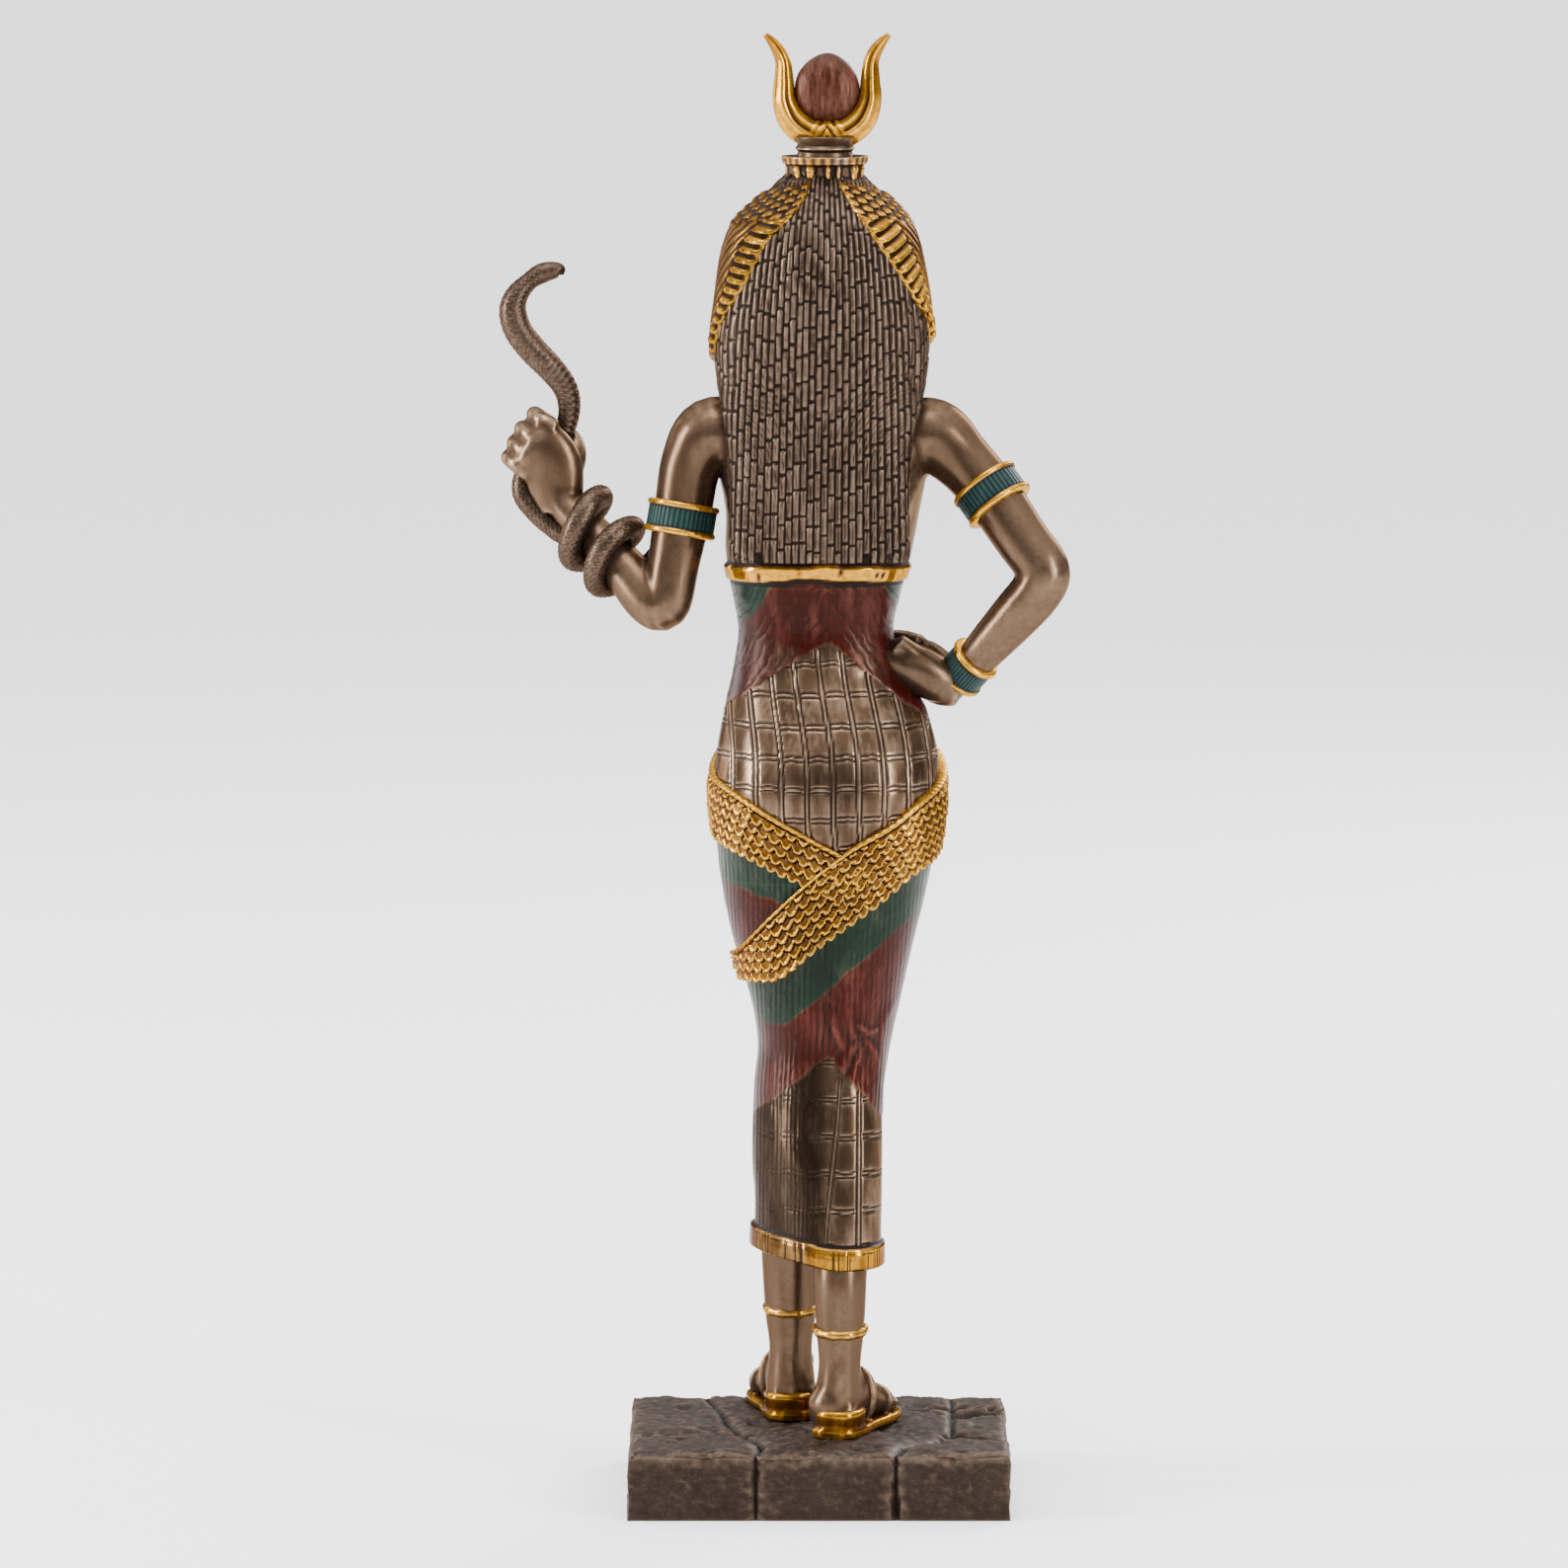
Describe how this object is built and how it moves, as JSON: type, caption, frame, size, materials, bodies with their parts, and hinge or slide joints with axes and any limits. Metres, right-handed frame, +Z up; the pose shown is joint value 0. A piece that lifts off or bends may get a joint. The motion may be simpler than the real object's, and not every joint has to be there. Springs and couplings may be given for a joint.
{
  "type": "hathor statue",
  "caption": "Standing Egyptian goddess figurine with horned disc crown, raised serpent and one hand on the hip, on a rectangular stone-block plinth.",
  "frame": {"origin": "centre of the plinth's flat underside", "axes": "+Z up, the figure faces -Y, and its left side is +X"},
  "size_m": [0.1102, 0.066, 0.2843],
  "materials": {
    "bronze": "cold-cast resin in a satin dark bronze, rubbed bright on the high places",
    "plinth_stone": "cold-cast resin in a dark brown stone finish, dry-brushed with tan on the edges"
  },
  "bodies": {
    "root": {"figure": "bronze", "plinth": "plinth_stone"}
  },
  "joints": []
}
